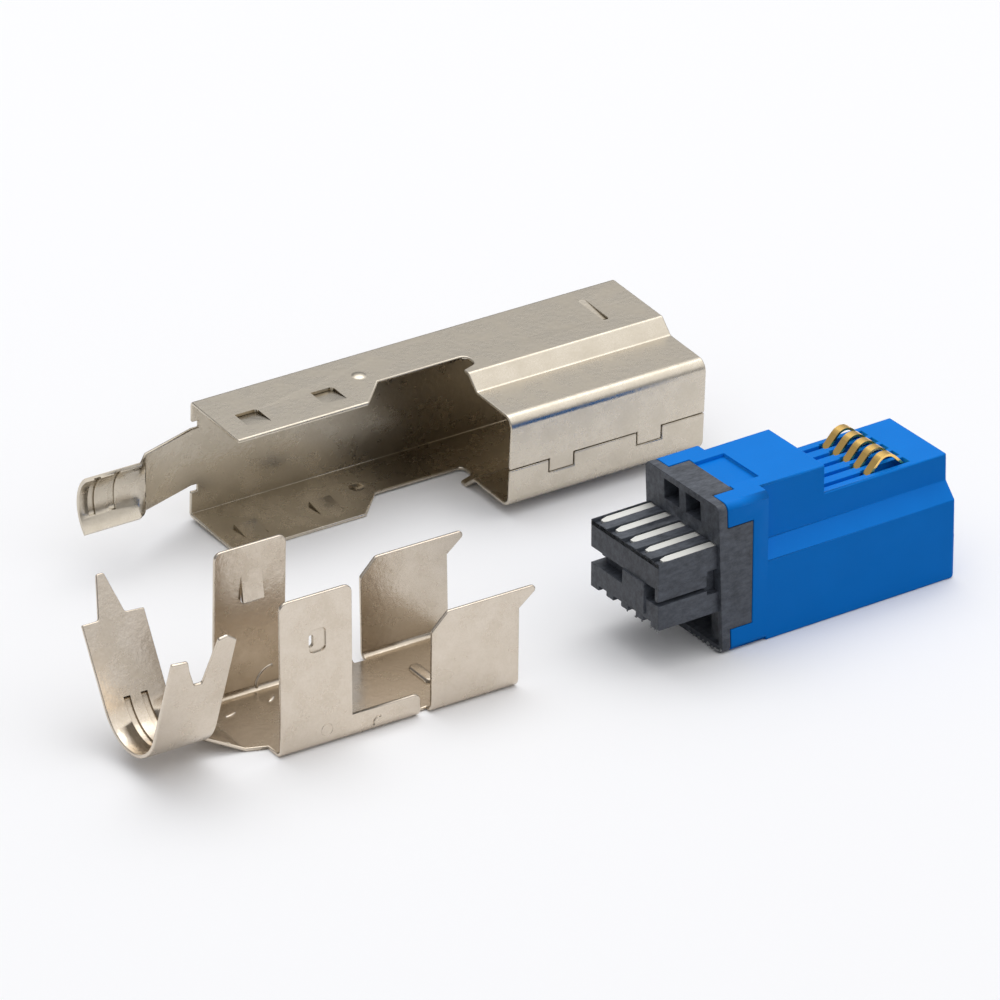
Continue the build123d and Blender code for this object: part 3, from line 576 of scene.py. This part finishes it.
FAR_TAB_FACE, NEAR_WALL_FACE, FLOOR_FACE = 3.70, -3.95, 0.25
TOWARDS_MATING_END, DOWN = (1, 0, 0), (0, 0, -1)
hook = on_cover(4.1, FAR_TAB_FACE, 0.42)
hook_end, hook_foot = hook + Vector((-0.2, 0, 0)) * MM, on_cover(3, 3, 0.28)
hook_cuts = [(hook_end, TOWARDS_MATING_END), (hook_foot, DOWN)]
crease("tab_foot_crease", hook, 1.2, 0.26, hook_cuts)
bend = on_cover(6.65, NEAR_WALL_FACE, 0.55)
crease("low_wall_crease", bend, 0.4, 0.12, [(bend, TOWARDS_MATING_END), (bend, DOWN)])
crease("low_wall_ring", on_cover(3.1, NEAR_WALL_FACE, 1.1), 0.38, 0.05)


# %% Dents
DENT_RISE = 0.1


def dent_rim(name, middle, length, width, turn):
    """A long flattened ball, half in the floor."""
    bpy.ops.object.select_all(action="DESELECT")
    bpy.ops.mesh.primitive_uv_sphere_add(
        location=middle, rotation=(0, 0, turn), radius=MM, segments=32, ring_count=16
    )
    piece = bpy.context.object
    piece.name = name
    bpy.ops.transform.resize(value=(length / 2, width / 2, DENT_RISE), orient_type="LOCAL")
    bpy.ops.object.transform_apply(location=True, rotation=True, scale=True)
    bpy.ops.object.shade_smooth_by_angle(angle=radians(60))
    piece.data.materials.append(cover_nickel)
    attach(piece, "root")
    print(name, len(piece.data.polygons), "faces")


dent_rim("floor_dent_front", on_cover(3.1, 2.3, FLOOR_FACE), 0.95, 0.36, radians(40))
dent_rim("floor_dent_rear", on_cover(0.1, 1.9, FLOOR_FACE), 0.9, 0.34, radians(20))

# %% [markdown]
# ## Mould flash on the block
# Glass-filled plastic tears where it leaves the mould, and ragged crumbs of it hang on at the lower
# edges. Each crumb is a stretched ball with its points pushed about by a noise texture. They follow
# two edges, each turned and sized a little differently, and are joined to one piece. Where the
# plastic has torn, bare fibre ends make it paler than the moulded skin.

# %% Torn plastic
FIBRE_END = 0.08 * MM
torn_pbt, tree = new_material("torn_glass_filled_pbt")
place = add_node(tree, "ShaderNodeTexCoord")
fibre_ends = add_node(
    tree,
    "ShaderNodeTexNoise",
    {"Scale": 1 / FIBRE_END, "Detail": 2.0},
    {"Vector": place.outputs["Object"]},
)
shade = add_node(
    tree,
    "ShaderNodeMix",
    {"data_type": "RGBA", FIRST_COLOUR: linear("#3A3D42"), SECOND_COLOUR: linear("#B9BABB")},
    {"Factor": fibre_ends.outputs["Fac"]},
)
plastic = add_node(
    tree,
    "ShaderNodeBsdfPrincipled",
    {"Roughness": 0.7, "IOR": 1.5},
    {"Base Color": shade.outputs[MIXED_COLOUR]},
)
add_node(tree, "ShaderNodeOutputMaterial", links={"Surface": plastic.outputs["BSDF"]})
print(torn_pbt.name, len(tree.nodes), "nodes")

# %% Crumbs of flash, each a place on the block and a radius in mm
CRUMB_STRETCH = (0.7, 1.3, 0.8)
CRUMB_TURNS = (1.3, 0.7, 2.1)
TEAR_DEPTH, TEAR_GRAIN = 0.7, 0.09 * MM
on_tongue_end = [
    (-4.46, -3.40, 2.82, 0.10),
    (-4.44, -3.05, 2.80, 0.07),
    (-4.46, -2.70, 2.81, 0.09),
    (-4.45, -1.80, 2.80, 0.07),
    (-4.46, -1.20, 2.82, 0.08),
    (-4.45, -0.30, 2.81, 0.06),
]
on_flange_foot = [
    (-0.02, -0.45, 0.12, 0.08),
    (-0.05, -0.95, 0.12, 0.09),
    (-0.03, -1.40, 0.13, 0.11),
    (-0.06, -1.85, 0.12, 0.09),
    (-0.03, -2.30, 0.14, 0.12),
    (-0.06, -2.75, 0.13, 0.10),
    (-0.04, -3.10, 0.14, 0.13),
    (-0.05, -3.35, 0.16, 0.10),
    (-0.02, -3.58, 0.26, 0.09),
]
ragged = bpy.data.textures.new("ragged_flash", "CLOUDS")
ragged.noise_scale = TEAR_GRAIN
crumbs = []
for number, (x, y, z, radius) in enumerate(on_tongue_end + on_flange_foot):
    bpy.ops.object.select_all(action="DESELECT")
    bpy.ops.mesh.primitive_ico_sphere_add(
        subdivisions=3,
        radius=radius * MM,
        location=on_group(BLOCK_AT, BLOCK_TURN, x, y, z),
        rotation=[number * turn for turn in CRUMB_TURNS],
    )
    crumb = bpy.context.object
    bpy.ops.transform.resize(value=CRUMB_STRETCH)
    bpy.ops.object.transform_apply(location=True, rotation=True, scale=True)
    tearing = crumb.modifiers.new("tearing", "DISPLACE")
    tearing.texture = ragged
    tearing.texture_coords = "GLOBAL"
    tearing.strength = radius * TEAR_DEPTH * MM
    bpy.ops.object.modifier_apply(modifier=tearing.name)
    crumbs.append(crumb)
bpy.ops.object.select_all(action="DESELECT")
for crumb in crumbs:
    crumb.select_set(True)
bpy.context.view_layer.objects.active = crumbs[0]
bpy.ops.object.join()
flash = bpy.context.object
flash.name = "mould_flash"
bpy.ops.object.transform_apply(location=True, rotation=True, scale=True)
flash.data.materials.append(torn_pbt)
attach(flash, "root")
print("crumbs", len(crumbs))

# %% [markdown]
# ## Contacts in their plating
# The contacts' own meshes are smooth enough, so they stay and only get their finish. The lower
# four are out of sight from most sides and get it too.

# %% Finishes on the contacts
contacts = [node for name, node in cad_nodes.items() if "contact" in name]
for node in contacts:
    node.data.materials.clear()
    node.data.materials.append(contact_plate)
print("contacts", len(contacts))

# %% Plain colours
bpy.context.scene.view_settings.view_transform = "Standard"
